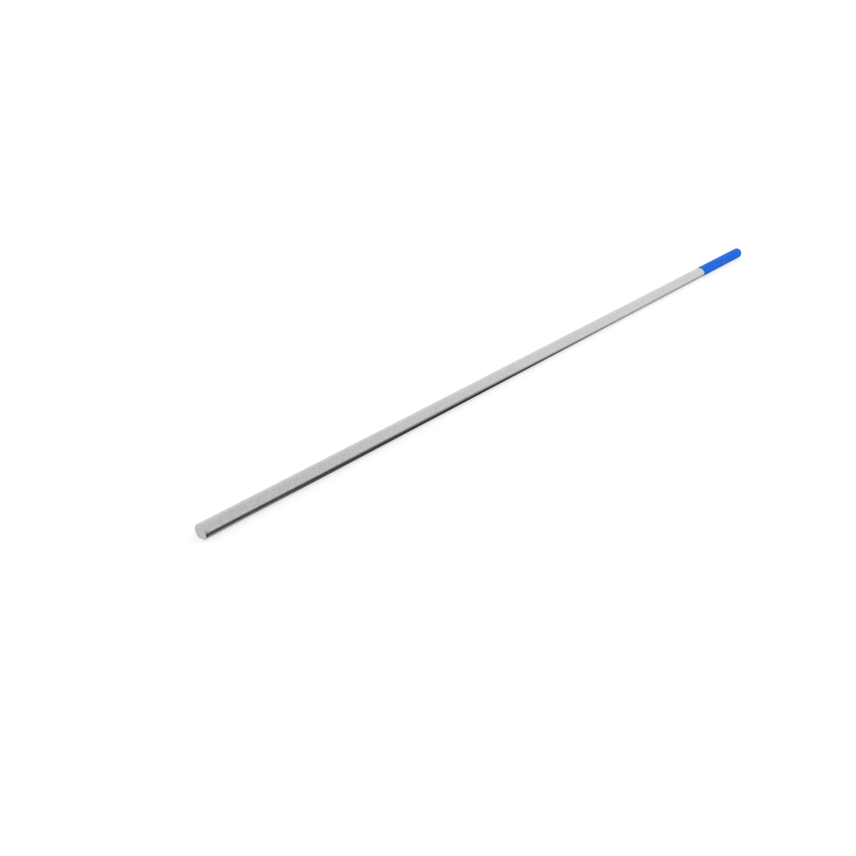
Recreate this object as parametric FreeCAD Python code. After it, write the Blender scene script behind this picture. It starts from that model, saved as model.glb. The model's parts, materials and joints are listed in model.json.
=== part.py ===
import FreeCAD, Part
import math
import os

# Tungsten electrode for arc welding: a straight ground rod, cut square at both ends, with a dipped
# lacquer band at one end whose colour tells the alloy. Millimetres, +Z up. The rod lies along X:
# the bare end, which carries the arc, has the centre of its face at the origin and looks along +X,
# and the lacquered end is at -X.

# Driving dimensions of the rod
ROD_DIAMETER = 2.4
ROD_LENGTH = 175.0
EDGE_ROUND = 0.1  # radius that deburring leaves around each cut face

# Driving dimensions of the lacquer
BAND_LENGTH = 22.0  # from the dip line to the cut face
DIP_LINE_FILM = 0.01  # film at the dip line, where it ends in a thin step
FILM_GAIN = 0.01  # how much it thickens in a curve behind that step
RUN_OUT = 1.2  # length of that curve
END_SWELL = 0.12  # how much more the drop that dries on the cut face adds in its middle

# Sizes that follow from them
ROD_RADIUS = ROD_DIAMETER / 2
FULL_FILM = DIP_LINE_FILM + FILM_GAIN
DIP_LINE_X = BAND_LENGTH - ROD_LENGTH
LACQUERED_FACE_X = -ROD_LENGTH
FACE_RADIUS = ROD_RADIUS - EDGE_ROUND  # flat part of a cut face


def point(x, radius):
    """A point of an outline: its place along the rod, and its distance from the axis."""
    return FreeCAD.Vector(x, 0, radius)


def line(start, end):
    return Part.LineSegment(start, end).toShape()


def arc(start, centre, end):
    """The shorter arc from start to end round centre."""
    radius = (start - centre).Length
    middle = (start - centre).normalize() + (end - centre).normalize()
    return Part.Arc(start, centre + middle.normalize() * radius, end).toShape()


def turned(outline):
    """The solid that a closed outline sweeps in one turn about the rod's axis."""
    face = Part.Face(Part.Wire(outline))
    return face.revolve(FreeCAD.Vector(0, 0, 0), FreeCAD.Vector(1, 0, 0), 360)


def lacquered_end_of_rod():
    """Outline of the rod from the start of its rounded edge to the middle of the lacquered face."""
    edge_start = point(LACQUERED_FACE_X + EDGE_ROUND, ROD_RADIUS)
    edge_centre = point(LACQUERED_FACE_X + EDGE_ROUND, FACE_RADIUS)
    edge_end = point(LACQUERED_FACE_X, FACE_RADIUS)
    middle = point(LACQUERED_FACE_X, 0)
    return edge_start, [arc(edge_start, edge_centre, edge_end), line(edge_end, middle)], middle


def ground_rod():
    """The rod: one cylinder with a flat cut face and a rounded edge at each end."""
    bare_middle = point(0, 0)
    bare_edge = point(0, FACE_RADIUS)
    bare_centre = point(-EDGE_ROUND, FACE_RADIUS)
    wall_start = point(-EDGE_ROUND, ROD_RADIUS)
    wall_end, far_end, far_middle = lacquered_end_of_rod()
    return turned([
        line(bare_middle, bare_edge),
        arc(bare_edge, bare_centre, wall_start),
        line(wall_start, wall_end),
        *far_end,
        line(far_middle, bare_middle),
    ])


def end_drop():
    """Outline of the lacquer's outside over the cut face: round the edge, then a bulge to the axis.

    The bulge is one arc with its centre on the axis, tangent to the arc round the edge.
    """
    corner_radius = EDGE_ROUND + FULL_FILM
    corner_centre = point(LACQUERED_FACE_X + EDGE_ROUND, FACE_RADIUS)
    corner_start = corner_centre + point(0, corner_radius)
    depth = corner_radius + END_SWELL  # from the corner's centre to the crown, along the axis
    bulge_radius = (depth**2 + FACE_RADIUS**2 - corner_radius**2) / (2 * END_SWELL)
    crown = point(corner_centre.x - depth, 0)
    bulge_centre = crown + point(bulge_radius, 0)
    outwards = (corner_centre - bulge_centre).normalize()
    meeting = bulge_centre + outwards * bulge_radius
    half_angle = math.asin(meeting.z / bulge_radius) / 2
    halfway = bulge_centre + point(-math.cos(half_angle), math.sin(half_angle)) * bulge_radius
    bulge = Part.Arc(meeting, halfway, crown).toShape()
    return corner_start, [arc(corner_start, corner_centre, meeting), bulge], crown


def lacquer_band():
    """The dried lacquer: a thin cup that lies on the rod's wall, edge and cut face."""
    wall_end, rod_end, rod_middle = lacquered_end_of_rod()
    step_foot = point(DIP_LINE_X, ROD_RADIUS)
    step_top = step_foot + point(0, DIP_LINE_FILM)
    run_out_end = step_top + point(-RUN_OUT, FILM_GAIN)
    run_out_radius = (RUN_OUT**2 + FILM_GAIN**2) / (2 * FILM_GAIN)
    run_out_centre = run_out_end - point(0, run_out_radius)
    corner_start, drop, crown = end_drop()
    return turned([
        line(step_foot, step_top),
        arc(step_top, run_out_centre, run_out_end),
        line(run_out_end, corner_start),
        *drop,
        line(crown, rod_middle),
        *reversed(rod_end),
        line(wall_end, step_foot),
    ])


def main():
    os.makedirs("parts", exist_ok=True)
    nodes = {"electrode_rod": ground_rod(), "colour_band": lacquer_band()}
    for name, shape in nodes.items():
        shape.exportStep(f"parts/{name}.step")
        print(name, shape.ShapeType, "valid", shape.isValid(), "volume", round(shape.Volume, 3), "mm3")


main()
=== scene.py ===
import json
import math

import bpy
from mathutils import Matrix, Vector


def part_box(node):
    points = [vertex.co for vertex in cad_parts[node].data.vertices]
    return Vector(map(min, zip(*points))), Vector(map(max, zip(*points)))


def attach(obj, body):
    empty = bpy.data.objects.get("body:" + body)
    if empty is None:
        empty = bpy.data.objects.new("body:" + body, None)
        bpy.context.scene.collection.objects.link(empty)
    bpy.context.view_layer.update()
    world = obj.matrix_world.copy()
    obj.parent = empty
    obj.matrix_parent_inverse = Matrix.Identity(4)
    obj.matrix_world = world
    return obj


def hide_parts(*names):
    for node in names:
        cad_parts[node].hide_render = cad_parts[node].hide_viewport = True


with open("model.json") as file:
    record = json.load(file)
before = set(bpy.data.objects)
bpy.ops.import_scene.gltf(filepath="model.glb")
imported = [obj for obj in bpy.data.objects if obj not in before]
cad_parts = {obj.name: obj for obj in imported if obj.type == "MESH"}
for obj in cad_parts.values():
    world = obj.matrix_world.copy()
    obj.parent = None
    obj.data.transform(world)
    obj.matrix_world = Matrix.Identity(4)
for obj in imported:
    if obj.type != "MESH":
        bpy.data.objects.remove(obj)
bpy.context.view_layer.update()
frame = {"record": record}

# A ground tungsten electrode with a dipped lacquer band. Metres, in the part's own frame: the rod
# lies along X, its bare face looks along +X at the origin, and the band is at -X.

mm = 0.001
micron = 0.000001

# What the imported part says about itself
shank = next(mount for mount in frame["record"]["mounts"] if mount["name"] == "collet_shank")
bandLow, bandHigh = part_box("colour_band")
rodRadius = shank["dims"]["r_mm"] * mm
rodLength = -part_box("electrode_rod")[0].x
edgeRound = (rodLength - shank["dims"]["length_mm"] * mm) / 2
dipLineX = bandHigh.x
fullFilm = bandHigh.y - rodRadius
crownX = bandLow.x
floorZ = -rodRadius


# Node writing, for shaders and for geometry

class Wire:
    def __init__(self, net, socket):
        self.net = net
        self.socket = socket

    def out(self, name):
        return Wire(self.net, self.socket.node.outputs[name])

    def do(self, operation, *others):
        return self.net.maths(operation, self, *others)

    def __add__(self, other):
        return self.do("ADD", other)

    def __mul__(self, other):
        return self.do("MULTIPLY", other)

    __radd__ = __add__
    __rmul__ = __mul__

    def __sub__(self, other):
        return self.do("SUBTRACT", other)

    def __rsub__(self, other):
        return self.net.maths("SUBTRACT", other, self)

    def __truediv__(self, other):
        return self.do("DIVIDE", other)

    def __rtruediv__(self, other):
        return self.net.maths("DIVIDE", other, self)

    def __gt__(self, other):
        return self.do("GREATER_THAN", other)


class Net:
    def __init__(self, tree):
        self.tree = tree
        tree.nodes.clear()

    def node(self, kind, settings=None, sockets=None, out=0):
        made = self.tree.nodes.new(kind)
        for name, value in (settings or {}).items():
            if name == "stops":
                self.fillRamp(made.color_ramp, value)
            else:
                setattr(made, name, value)
        for key, value in (sockets or {}).items():
            if isinstance(value, Wire):
                self.tree.links.new(value.socket, made.inputs[key])
            else:
                made.inputs[key].default_value = value
        return Wire(self, made.outputs[out]) if len(made.outputs) else made

    def fillRamp(self, ramp, stops):
        while len(ramp.elements) < len(stops):
            ramp.elements.new(1)
        for element, (place, grey) in zip(ramp.elements, stops):
            element.position = place
            element.color = (grey, grey, grey, 1)

    def maths(self, operation, *values):
        return self.node("ShaderNodeMath", {"operation": operation}, dict(enumerate(values)))

    def split(self, vector):
        parts = self.node("ShaderNodeSeparateXYZ", None, {0: vector})
        return parts.out("X"), parts.out("Y"), parts.out("Z")

    def join(self, x, y, z):
        return self.node("ShaderNodeCombineXYZ", None, {"X": x, "Y": y, "Z": z})

    def noise(self, vector, scale, detail=2, roughness=0.5):
        sockets = {"Vector": vector, "Scale": scale, "Detail": detail, "Roughness": roughness}
        return self.node("ShaderNodeTexNoise", None, sockets)

    # Noise about 0 with its own scale along the rod and across it
    def streaks(self, place, scales, detail, roughness=0.5):
        x, y, z = self.split(place)
        along, across = scales
        stretched = self.join(x * along, y * across, z * across)
        return self.noise(stretched, 1, detail, roughness) - 0.5

    def ease(self, value, low, high, toLow=0, toHigh=1):
        settings = {"interpolation_type": "SMOOTHSTEP"}
        sockets = {0: value, 1: low, 2: high, 3: toLow, 4: toHigh}
        return self.node("ShaderNodeMapRange", settings, sockets)

    def mixColour(self, factor, first, second):
        sockets = {0: factor, 6: first, 7: second}
        return self.node("ShaderNodeMix", {"data_type": "RGBA"}, sockets, out=2)

    def grey(self, share):
        return self.mixColour(share, rgb(0, 0, 0), rgb(1, 1, 1))


def rgb(red, green, blue):
    return (red, green, blue, 1)


def newMaterial(name):
    material = bpy.data.materials.new(name)
    material.use_nodes = True
    return material, Net(material.node_tree)


def addUp(start, patterns, weights):
    total = start
    for name, weight in weights.items():
        total = patterns[name] * weight + total
    return total


# Shapes: an outline in the XZ half plane, turned about X by a geometry tree

def arcPoints(centreX, centreRadius, radius, fromDegrees, toDegrees, steps):
    points = []
    for step in range(steps + 1):
        angle = math.radians(fromDegrees + (toDegrees - fromDegrees) * step / steps)
        points.append((centreX + radius * math.cos(angle), centreRadius + radius * math.sin(angle)))
    return points


def newShapeTree(name, numbers):
    tree = bpy.data.node_groups.new(name, "GeometryNodeTree")

    def addSocket(label, kind, way="INPUT"):
        tree.interface.new_socket(label, in_out=way, socket_type="NodeSocket" + kind)

    addSocket("Outline", "Geometry")
    addSocket("Facets", "Int")
    for label in numbers:
        addSocket(label, "Float")
    addSocket("Finish", "Material")
    addSocket("Shape", "Geometry", "OUTPUT")
    net = Net(tree)
    return tree, net, net.node("NodeGroupInput")


def turnOutline(net, outline, facets):
    size = net.node("GeometryNodeAttributeDomainSize", None, {"Geometry": outline})
    spokes = facets + 1
    sides = {"Vertices X": size.out("Point Count"), "Vertices Y": spokes}
    grid = net.node("GeometryNodeMeshGrid", None, sides)
    index = net.node("GeometryNodeInputIndex")
    ring = ((index + 0.5) / spokes).do("FLOOR")
    turn = (index - ring * spokes) * math.tau / facets
    sampled = {"Geometry": outline, "Value": net.node("GeometryNodeInputPosition"), "Index": ring}
    place = net.node("GeometryNodeSampleIndex", {"data_type": "FLOAT_VECTOR"}, sampled)
    x, unused, radius = net.split(place)
    position = net.join(x, radius * turn.do("COSINE"), radius * turn.do("SINE"))
    return net.node("GeometryNodeSetPosition", None, {"Geometry": grid, "Position": position})


def fromAxis(y, z):
    return (y * y + z * z).do("SQRT").do("MAXIMUM", micron)


def endShape(net, shape, finish):
    closed = net.node("GeometryNodeMergeByDistance", None, {"Geometry": shape, "Distance": 0.1 * micron})
    smooth = net.node("GeometryNodeSetShadeSmooth", None, {"Geometry": closed, "Shade Smooth": True})
    real = net.node("GeometryNodeRealizeInstances", None, {"Geometry": smooth})
    dressed = net.node("GeometryNodeSetMaterial", None, {"Geometry": real, "Material": finish})
    net.node("NodeGroupOutput", None, {"Shape": dressed})


def makePiece(name, outline, tree, values):
    drawn = bpy.data.meshes.new(name + "Outline")
    drawn.from_pydata([(x, 0, radius) for x, radius in outline], [], [])
    maker = bpy.data.objects.new(name + "Maker", drawn)
    bpy.context.scene.collection.objects.link(maker)
    modifier = maker.modifiers.new("turned", "NODES")
    modifier.node_group = tree
    for item in tree.interface.items_tree:
        if item.in_out == "INPUT" and item.name in values:
            modifier[item.identifier] = values[item.name]
    graph = bpy.context.evaluated_depsgraph_get()
    mesh = bpy.data.meshes.new_from_object(maker.evaluated_get(graph))
    bpy.data.objects.remove(maker)
    piece = bpy.data.objects.new(name, mesh)
    bpy.context.scene.collection.objects.link(piece)
    print(name, "has", len(mesh.polygons), "faces")
    return piece


# The rod: centreless ground wall, cut faces, rounded edges, a worn bare rim

rod = {
    "facets": 144,
    "edgeSteps": 10,
    "faceRings": 8,
    "chipRings": 8,
    "wallRings": 60,
    "rimWobble": 14 * micron,
    "rimWobbleSize": 0.35 * mm,
    "rimWobbleReach": 0.3 * mm,
    "wearFrom": 0.6,     # share of the radius at which the rim's wear starts, on the face
    "wearFull": 0.95,
    # Chips on the bare rim: degrees round it from +Y towards +Z, degrees to each side, depth, reach
    "chips": [
        (276, 36, 230 * micron, 0.30 * mm),
        (2, 24, 95 * micron, 0.60 * mm),
    ],
}


def rodOutline():
    flat = rodRadius - edgeRound
    face = [flat * ring / rod["faceRings"] for ring in range(rod["faceRings"])]
    bareEdge = arcPoints(-edgeRound, flat, edgeRound, 0, 90, rod["edgeSteps"])
    farEdge = arcPoints(edgeRound - rodLength, flat, edgeRound, 90, 180, rod["edgeSteps"])
    wallStart, wallEnd = -edgeRound, edgeRound - rodLength
    firstRing = wallStart - max(reach for angle, width, depth, reach in rod["chips"])
    rings = rod["chipRings"]
    nearWall = [(wallStart + (firstRing - wallStart) * ring / rings, rodRadius)
                for ring in range(1, rings + 1)]
    span = (wallEnd - firstRing) / rod["wallRings"]
    wall = [(firstRing + span * ring, rodRadius) for ring in range(1, rod["wallRings"])]
    bareFace = [(0, radius) for radius in face]
    farFace = [(-rodLength, radius) for radius in reversed(face)]
    return bareFace + bareEdge + nearWall + wall + farEdge + farFace


def rodTree():
    sizes = ["angle", "width", "depth", "reach"]
    chips = [[f"Chip {number} {size}" for size in sizes] for number in range(len(rod["chips"]))]
    labels = ["Wobble", "Wobble size", "Wobble reach"] + sum(chips, [])
    tree, net, inputs = newShapeTree("groundRod", labels)
    turned = turnOutline(net, inputs.out("Outline"), inputs.out("Facets"))
    position = net.node("GeometryNodeInputPosition")
    x, y, z = net.split(position)
    radius = fromAxis(y, z)
    outside = net.ease(radius / rodRadius, rod["wearFrom"], rod["wearFull"])
    wobble = (net.noise(position, 1 / inputs.out("Wobble size")) - 0.5) * inputs.out("Wobble") * 2
    inwards = wobble * net.ease(x, inputs.out("Wobble reach") * -1, 0)
    for chip in chips:
        angle, width, depth, reach = (inputs.out(label) for label in chip)
        across = y * angle.do("COSINE") + z * angle.do("SINE")
        flatAt = rodRadius * width.do("COSINE")
        overhang = (across - flatAt).do("MAXIMUM", 0) / (rodRadius - flatAt)
        inwards = inwards + overhang * depth * net.ease(x, reach * -1, 0)
    shrink = inwards * outside / radius * -1
    offset = net.join(0, y * shrink, z * shrink)
    worn = net.node("GeometryNodeSetPosition", None, {"Geometry": turned, "Offset": offset})
    endShape(net, worn, inputs.out("Finish"))
    return tree


# The lacquer: a thin cup with a dip line in front and a dried drop over the cut face

lacquer = {
    "facets": 144,
    "dipStep": 10 * micron,
    "runOut": 1.2 * mm,
    "runOutSteps": 10,
    "wallRings": 44,
    "edgeSteps": 8,
    "bulgeRings": 10,
    "tilt": 0.48 * mm,     # how far the dip line leans, at its most
    "tiltAt": 127,         # degrees from +Y towards +Z, where it reaches furthest along the rod
    "waver": 0.08 * mm,    # smaller unevenness of the dip line
    "waverSize": 0.9 * mm,
    "fade": 2.5 * mm,      # how far behind the dip line both die out
    "thickness": 4 * micron,
    "thicknessSize": 2.2 * mm,
}


def lacquerOutline():
    flat = rodRadius - edgeRound
    stepTop = rodRadius + lacquer["dipStep"]
    gain = fullFilm - lacquer["dipStep"]
    runOut = lacquer["runOut"]
    runOutRadius = (runOut**2 + gain**2) / (2 * gain)
    runOutX = dipLineX - runOut
    startDegrees = math.degrees(math.asin(runOut / runOutRadius))
    filmRadius = rodRadius + fullFilm
    curve = arcPoints(runOutX, filmRadius - runOutRadius, runOutRadius,
                      90 - startDegrees, 90, lacquer["runOutSteps"])
    cornerX = edgeRound - rodLength
    cornerRadius = edgeRound + fullFilm
    rings = lacquer["wallRings"]
    span = (cornerX - runOutX) / rings
    wall = [(runOutX + span * ring, filmRadius) for ring in range(1, rings)]
    depth = cornerX - crownX
    bulgeRadius = (depth**2 + flat**2 - cornerRadius**2) / (2 * (depth - cornerRadius))
    bulgeX = crownX + bulgeRadius
    meetDegrees = math.degrees(math.asin(flat / (bulgeRadius - cornerRadius)))
    corner = arcPoints(cornerX, flat, cornerRadius, 90, 180 - meetDegrees, lacquer["edgeSteps"])
    bulge = arcPoints(bulgeX, 0, bulgeRadius, 180 - meetDegrees, 180, lacquer["bulgeRings"])
    seatEdge = arcPoints(cornerX, flat, edgeRound, 180, 90, lacquer["edgeSteps"])
    step = [(dipLineX, rodRadius), (dipLineX, stepTop)]
    outside = step + curve[1:] + wall + corner + bulge[1:-1]
    inside = [(crownX, 0), (-rodLength, 0)] + seatEdge + [(dipLineX, rodRadius)]
    return outside + inside


def lacquerTree():
    labels = ["Tilt", "Tilt angle", "Waver", "Waver size", "Fade", "Thickness", "Thickness size"]
    tree, net, inputs = newShapeTree("dippedBand", labels)
    turned = turnOutline(net, inputs.out("Outline"), inputs.out("Facets"))
    position = net.node("GeometryNodeInputPosition")
    x, y, z = net.split(position)
    radius = fromAxis(y, z)
    nearLine = net.ease(x, dipLineX - inputs.out("Fade"), dipLineX)
    tiltAngle = inputs.out("Tilt angle")
    leaning = y * tiltAngle.do("COSINE") + z * tiltAngle.do("SINE")
    lean = leaning / rodRadius * inputs.out("Tilt")
    around = net.join(0, y / radius * rodRadius, z / radius * rodRadius)
    waver = (net.noise(around, 1 / inputs.out("Waver size")) - 0.5) * inputs.out("Waver") * 2
    shift = (lean + waver) * nearLine
    isOutside = radius > rodRadius + lacquer["dipStep"] / 2
    bumps = net.noise(position, 1 / inputs.out("Thickness size")) - 0.5
    grow = bumps * inputs.out("Thickness") * 2 * isOutside * (1 - nearLine) / radius
    offset = net.join(shift, y * grow, z * grow)
    dried = net.node("GeometryNodeSetPosition", None, {"Geometry": turned, "Offset": offset})
    endShape(net, dried, inputs.out("Finish"))
    return tree


# Finishes. Scales of noise are per metre. In a pair, the first is along the rod, the second across.

tungstenLook = {
    "bright": rgb(0.678, 0.678, 0.676),
    "dull": rgb(0.558, 0.558, 0.556),
    "cutFace": rgb(0.465, 0.465, 0.463),
    "faceLines": rgb(0.610, 0.610, 0.608),
    "pit": rgb(0.300, 0.299, 0.296),
    "fineLines": (17000, 240),   # grinding lines
    "bands": (4600, 480),        # coarser ones
    "mottle": (3700, 3000),
    "drift": (60, 60),
    "faceMarks": (400, 3800),    # marks that cutting off left; here, along Y and along Z
    "faceFrom": -0.06 * mm,      # where the wall's finish turns into the face's
    "faceFull": -0.01 * mm,
    "pits": 6500,
    "pitsFrom": 0.73,            # how high the pits' noise has to be; lower makes more of them
    "pitsSoft": 0.08,
    "pitsShare": 0.8,
    "wallTone": {"mottle": 3.3, "bands": 0.7, "fineLines": 1.6, "drift": 0.5},
    "faceTone": {"marks": 2.2, "mottle": 1.6},
    "wallHeight": {"fineLines": 0.25, "bands": 0.4},
    "mottleHeight": 0.5,
    "roughness": 0.20,
    "faceRoughness": 0.38,
    "unevenRoughness": {"fineLines": 0.11, "bands": 0.11, "mottle": 0.11, "pits": 0.2},
    "relief": 4 * micron,
    "reliefStrength": 0.5,
}


def tungstenMaterial():
    material, net = newMaterial("groundTungsten")
    look = tungstenLook
    place = net.node("ShaderNodeTexCoord").out("Object")
    x, y, z = net.split(place)
    alongY, alongZ = look["faceMarks"]
    marks = net.noise(net.join(x, y * alongY, z * alongZ), 1, detail=3) - 0.5
    pitNoise = net.noise(place, look["pits"], detail=1)
    pits = net.ease(pitNoise, look["pitsFrom"], look["pitsFrom"] + look["pitsSoft"])
    patterns = {
        "fineLines": net.streaks(place, look["fineLines"], 2),
        "bands": net.streaks(place, look["bands"], 3),
        "mottle": net.streaks(place, look["mottle"], 3, 0.6),
        "drift": net.streaks(place, look["drift"], 1),
        "marks": marks,
        "pits": pits,
    }
    onFace = net.ease(x, look["faceFrom"], look["faceFull"])

    wall = net.mixColour(addUp(0.5, patterns, look["wallTone"]), look["dull"], look["bright"])
    face = net.mixColour(addUp(0.5, patterns, look["faceTone"]), look["cutFace"], look["faceLines"])
    colour = net.mixColour(pits * look["pitsShare"], net.mixColour(onFace, wall, face), look["pit"])
    roughness = look["roughness"] + onFace * (look["faceRoughness"] - look["roughness"])
    roughness = addUp(roughness, patterns, look["unevenRoughness"])
    height = addUp(0, patterns, look["wallHeight"]) * (1 - onFace)
    height = height + patterns["mottle"] * look["mottleHeight"] + marks * onFace - pits
    bump = net.node("ShaderNodeBump", None, {
        "Strength": look["reliefStrength"], "Distance": look["relief"], "Height": height})
    shader = net.node("ShaderNodeBsdfPrincipled", None, {
        "Base Color": colour, "Metallic": 1.0, "Roughness": roughness, "Normal": bump})
    net.node("ShaderNodeOutputMaterial", None, {"Surface": shader})
    return material


lacquerLook = {
    "deep": rgb(0.001, 0.093, 0.545),
    "clear": rgb(0.003, 0.147, 0.765),
    "thin": rgb(0.036, 0.210, 0.700),
    "clouds": 520,
    "runs": (110, 1500),     # streaks that running down left
    "orangePeel": 2600,
    "thinFor": 0.22 * mm,    # how far behind the dip line the film looks thin
    "thinShare": 0.7,
    "beadFrom": 0.5 * mm,    # and where it is thickest
    "beadTo": 1.6 * mm,
    "tone": {"clouds": 1.6, "runs": 1.2, "peel": 0.5, "bead": -0.25},
    "height": {"peel": 0.6, "runs": 0.7, "bead": 0.5},
    "roughness": 0.42,
    "unevenRoughness": {"clouds": 0.16, "runs": 0.10, "thin": 0.08},
    "relief": 9 * micron,
    "reliefStrength": 0.6,
    "refraction": 1.45,
    "gloss": 0.04,
}


def lacquerMaterial():
    material, net = newMaterial("blueLacquer")
    look = lacquerLook
    place = net.node("ShaderNodeTexCoord").out("Object")
    x, y, z = net.split(place)
    tiltAt = math.radians(lacquer["tiltAt"])
    lean = (y * math.cos(tiltAt) + z * math.sin(tiltAt)) / rodRadius * lacquer["tilt"]
    behind = dipLineX + lean - x
    thin = net.ease(behind, 0, look["thinFor"], 1, 0)
    middle = (look["beadFrom"] + look["beadTo"]) / 2
    fromMiddle = (behind - middle).do("ABSOLUTE")
    patterns = {
        "clouds": net.noise(place, look["clouds"], detail=3) - 0.5,
        "runs": net.streaks(place, look["runs"], 2),
        "peel": net.noise(place, look["orangePeel"], detail=1) - 0.5,
        "bead": net.ease(fromMiddle, 0, middle - look["beadFrom"], 1, 0),
        "thin": thin,
    }
    film = net.mixColour(addUp(0.5, patterns, look["tone"]), look["deep"], look["clear"])
    colour = net.mixColour(thin * look["thinShare"], film, look["thin"])
    roughness = addUp(look["roughness"], patterns, look["unevenRoughness"])
    height = addUp(0, patterns, look["height"])
    bump = net.node("ShaderNodeBump", None, {
        "Strength": look["reliefStrength"], "Distance": look["relief"], "Height": height})
    shader = net.node("ShaderNodeBsdfPrincipled", None, {
        "Base Color": colour, "Roughness": roughness, "IOR": look["refraction"],
        "Specular IOR Level": look["gloss"], "Normal": bump})
    net.node("ShaderNodeOutputMaterial", None, {"Surface": shader})
    return material


# The stage: a pale floor, a pale room, one soft lamp

stage = {
    "floorSize": 8.0,
    "floorGrey": 0.98,
    "shadowShare": 0.35,   # how much of its shadow the floor shows
    "clearFrom": 0.05,     # metres from the rod's line where the floor starts to turn plain white
    "clearTo": 0.20,
    "skyDiffuse": 0.78,    # brightness of the room as soft light
    "skyMirrored": 0.785,  # and as the metal mirrors it
    "skyAlong": 0.995,     # which rises to this towards -X, between these shares of the direction
    "alongFrom": 0.52,
    "alongTo": 0.88,
    "skyLeft": 0.14,       # and rises by this towards -Y, in the same way
    "leftFrom": 0.15,
    "leftTo": 0.7,
    "lampSize": 0.5,
    "lampAt": Vector((-0.05, 0.22, 0.55)),
    "lampPower": 1.5,
}


def makeSheet(name, low, high, z, material):
    mesh = bpy.data.meshes.new(name)
    corners = [(low[0], low[1], z), (high[0], low[1], z), (high[0], high[1], z), (low[0], high[1], z)]
    mesh.from_pydata(corners, [], [(0, 1, 2, 3)])
    mesh.materials.append(material)
    sheet = bpy.data.objects.new(name, mesh)
    bpy.context.scene.collection.objects.link(sheet)
    return sheet


def seenDirectly(net):
    path = net.node("ShaderNodeLightPath")
    mirrored = path.out("Is Glossy Ray").do("MAXIMUM", path.out("Is Transmission Ray"))
    return path.out("Is Camera Ray"), mirrored


def makeFloor():
    material, net = newMaterial("paleFloor")
    grey = stage["floorGrey"]
    x, y, z = net.split(net.node("ShaderNodeTexCoord").out("Object"))
    half = rodLength / 2
    beyondEnds = ((x + half).do("ABSOLUTE") - half).do("MAXIMUM", 0)
    away = (beyondEnds * beyondEnds + y * y).do("SQRT")
    plain = net.ease(away, stage["clearFrom"], stage["clearTo"], 1 - stage["shadowShare"], 1)
    camera, mirrored = seenDirectly(net)
    lit = net.node("ShaderNodeBsdfDiffuse", None, {"Color": rgb(grey, grey, grey)})
    white = net.node("ShaderNodeEmission", None, {"Color": rgb(1, 1, 1), "Strength": 1})
    share = plain * camera.do("MAXIMUM", mirrored)
    mixed = net.node("ShaderNodeMixShader", None, {0: share, 1: lit, 2: white})
    net.node("ShaderNodeOutputMaterial", None, {"Surface": mixed})
    reach = stage["floorSize"] / 2
    makeSheet("floor", (-reach, -reach), (reach, reach), floorZ, material)


def makeSky():
    world = bpy.data.worlds.new("whiteRoom")
    bpy.context.scene.world = world
    world.use_nodes = True
    net = Net(world.node_tree)
    x, y, z = net.split(net.node("ShaderNodeTexCoord").out("Generated"))
    plain, bright = stage["skyMirrored"], stage["skyAlong"]
    along = net.ease(-1 * x, stage["alongFrom"], stage["alongTo"], plain, bright)
    left = net.ease(-1 * y, stage["leftFrom"], stage["leftTo"], 0, stage["skyLeft"])
    seen = (along + left).do("MINIMUM", 1)
    camera, mirrored = seenDirectly(net)
    light = stage["skyDiffuse"] + (seen - stage["skyDiffuse"]) * mirrored
    light = light + (1 - light) * camera
    background = net.node("ShaderNodeBackground", None, {"Color": net.grey(light), "Strength": 1})
    net.node("ShaderNodeOutputWorld", None, {"Surface": background})


def makeLamp():
    data = bpy.data.lights.new("softbox", "AREA")
    data.shape = "SQUARE"
    data.size = stage["lampSize"]
    data.energy = stage["lampPower"]
    lamp = bpy.data.objects.new("softbox", data)
    bpy.context.scene.collection.objects.link(lamp)
    middle = Vector((-rodLength / 2, 0, 0))
    lamp.location = middle + stage["lampAt"]
    lamp.rotation_mode = "QUATERNION"
    lamp.rotation_quaternion = (middle - lamp.location).to_track_quat("-Z", "Y")
    lamp.visible_glossy = False
    lamp.visible_camera = False


# A strip on the floor beside the rod, on its +Y side, that the camera doesn't see: a painted shadow,
# glowing grey, that stands in for the rod's shadow on the floor as the metal mirrors it. It gives the
# metal the dark line that it mirrors. Places along the rod and distances from it in millimetres.

strip = {
    "reachUnder": 0.6,     # how far it lies past the rod's line, under the far part of the rod
    "reachOut": 20,
    "pastTip": 20,
    "brightness": [(0, 0.42), (0.9, 0.40), (1.3, 0.20), (1.7, 0.03), (2.3, 0.03), (2.8, 0.18),
                   (3.5, 0.34), (5, 0.50), (7, 0.62), (10, 0.76), (20, 0.9)],
    "fullTo": -75,         # between these places along the rod it turns paler
    "paleBy": -125,
    "paleShare": 0.62,
    "softTo": -60,         # and between these its grey borders shrink to its dark core
    "sharpBy": -105,
    "sharpness": 3,
    "nearStretch": 0.85,   # its distances are divided by this at the bare end
    "farStretch": 1.5,     # and by this, which makes it narrower, from farAt on
    "farAt": -100,
    # Under the rod, away from the bare end, the strip turns darker: painted shade of what lies beneath
    # the rod. Near the bare end it keeps its grey: a painted reflection of the floor under the rod
    # there.
    "underFrom": 1.6,      # nearer than this it starts to count as under the rod
    "underFull": 0.9,
    "rimLight": 0.12,      # share of its brightness that is left there, away from the bare end
    "rimFrom": -22,
    "rimTo": -6,
    "lineSoft": 0.05,      # how softly it ends at the rod's line, along the near part
    "lift": 0.02,          # how high it lies above the floor
}


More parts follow.
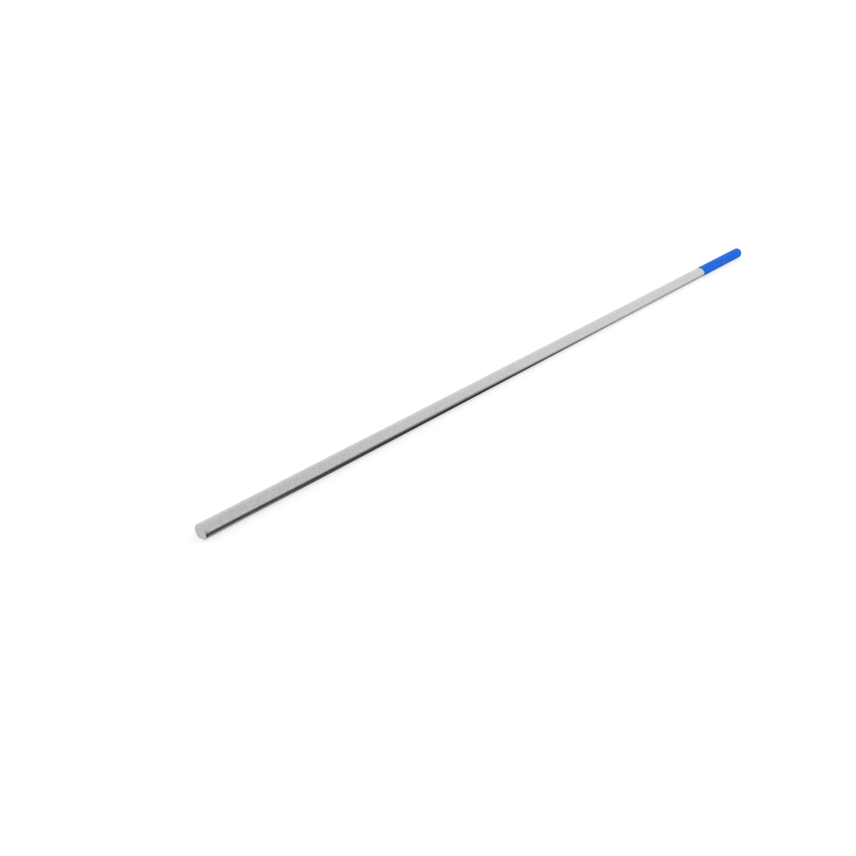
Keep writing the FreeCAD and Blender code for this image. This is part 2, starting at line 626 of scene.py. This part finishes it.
def makePaintedShadowStrip():
    material, net = newMaterial("paintedShadowStrip")
    x, y, z = net.split(net.node("ShaderNodeTexCoord").out("Object"))
    x, y = x / mm, y / mm
    width = strip["reachOut"]
    stops = [(place / width, grey) for place, grey in strip["brightness"]]
    stretch = net.ease(x, strip["farAt"], 0, strip["farStretch"], strip["nearStretch"])
    brightness = net.node("ShaderNodeValToRGB", {"stops": stops}, {0: y * stretch / width})
    # Painted shade under the rod, with a painted lighter rim near the bare end
    underRod = net.ease(y, strip["underFrom"], strip["underFull"])
    rimLight = net.ease(x, strip["rimFrom"], strip["rimTo"], strip["rimLight"], 1)
    brightness = brightness * (1 - (1 - rimLight) * underRod)
    full = net.ease(x, strip["paleBy"], strip["fullTo"], strip["paleShare"], 1)
    sharpness = net.ease(x, strip["sharpBy"], strip["softTo"], strip["sharpness"], 1)
    darkness = (1 - brightness).do("POWER", sharpness)
    light = net.grey(1 - darkness * full)
    # The strip glows with this grey and is no lamp: a painted shadow for the metal to mirror
    glow = net.node("ShaderNodeEmission", None, {"Color": light, "Strength": 1})
    clear = net.node("ShaderNodeBsdfTransparent")
    behind = net.node("ShaderNodeNewGeometry").out("Backfacing")
    acrossLine = net.ease(y, -strip["lineSoft"], 0, 1, 0)
    nearPart = net.ease(x, strip["sharpBy"], strip["softTo"])
    hidden = behind.do("MAXIMUM", acrossLine * nearPart)
    oneSided = net.node("ShaderNodeMixShader", None, {0: hidden, 1: glow, 2: clear})
    net.node("ShaderNodeOutputMaterial", None, {"Surface": oneSided})
    low = (-rodLength - strip["pastTip"] * mm, -strip["reachUnder"] * mm)
    sheet = makeSheet("strip", low, (0, width * mm), floorZ + strip["lift"] * mm, material)
    sheet.visible_camera = False
    sheet.visible_shadow = False


# The camera, where the photograph's was: in front of the bare face and to the rod's +Y side

viewpoint = {
    "place": Vector((71.3, 97.1, 71.6)) * mm,
    "turn": 38.94,         # degrees that it looks to the left of the rod's line
    "down": 25.68,         # degrees below the horizon
    "focalPixels": 1008,
    "framePixels": 856,
    "sensor": 36,
    "clip": (0.01, 50),
}


def makeCamera():
    turn, down = math.radians(viewpoint["turn"]), math.radians(viewpoint["down"])
    level = math.cos(down)
    ahead = Vector((-math.cos(turn) * level, -math.sin(turn) * level, -math.sin(down)))
    data = bpy.data.cameras.new("camera")
    data.sensor_width = viewpoint["sensor"]
    data.lens = viewpoint["sensor"] * viewpoint["focalPixels"] / viewpoint["framePixels"]
    data.clip_start, data.clip_end = viewpoint["clip"]
    camera = bpy.data.objects.new("camera", data)
    bpy.context.scene.collection.objects.link(camera)
    camera.location = viewpoint["place"]
    camera.rotation_mode = "QUATERNION"
    camera.rotation_quaternion = ahead.to_track_quat("-Z", "Y")
    bpy.context.scene.camera = camera


def dressPiece(piece, node):
    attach(piece, "root")
    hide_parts(node)


makeCamera()
makeSky()
makeLamp()
makeFloor()
makePaintedShadowStrip()
print("stage ready")

rodValues = {
    "Facets": rod["facets"],
    "Wobble": rod["rimWobble"],
    "Wobble size": rod["rimWobbleSize"],
    "Wobble reach": rod["rimWobbleReach"],
    "Finish": tungstenMaterial(),
}
for number, (angle, width, depth, reach) in enumerate(rod["chips"]):
    rodValues[f"Chip {number} angle"] = math.radians(angle)
    rodValues[f"Chip {number} width"] = math.radians(width)
    rodValues[f"Chip {number} depth"] = depth
    rodValues[f"Chip {number} reach"] = reach
rodPiece = makePiece("groundRod", rodOutline(), rodTree(), rodValues)
dressPiece(rodPiece, "electrode_rod")

bandPiece = makePiece("lacquerBand", lacquerOutline(), lacquerTree(), {
    "Facets": lacquer["facets"],
    "Tilt": lacquer["tilt"],
    "Tilt angle": math.radians(lacquer["tiltAt"]),
    "Waver": lacquer["waver"],
    "Waver size": lacquer["waverSize"],
    "Fade": lacquer["fade"],
    "Thickness": lacquer["thickness"],
    "Thickness size": lacquer["thicknessSize"],
    "Finish": lacquerMaterial(),
})
dressPiece(bandPiece, "colour_band")
print("pieces ready")

bpy.context.scene.view_settings.view_transform = "Standard"
